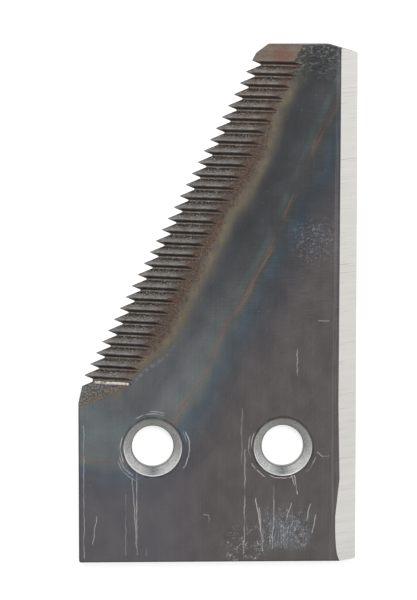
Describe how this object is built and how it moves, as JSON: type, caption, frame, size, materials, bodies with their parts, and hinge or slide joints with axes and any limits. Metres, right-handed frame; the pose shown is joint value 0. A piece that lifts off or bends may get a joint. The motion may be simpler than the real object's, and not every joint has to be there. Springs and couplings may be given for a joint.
{
  "type": "knife section",
  "caption": "Flat steel cutting knife section with a serrated bevel on its slanted side, a plain ground bevel on its straight side and countersunk fixing holes.",
  "frame": {"origin": "midway between the two fixing holes, on the flat underside", "axes": "+X from the serrated side to the plain ground side, +Y from the base edge to the narrow nose, +Z out of the bevelled face"},
  "size_m": [0.07, 0.1304, 0.004],
  "materials": {
    "blade_steel": "dark heat-treated face with straw and blue temper tints, bright ground bevel and bright machined countersinks"
  },
  "bodies": {
    "root": {"knife_section": "blade_steel"}
  },
  "joints": []
}
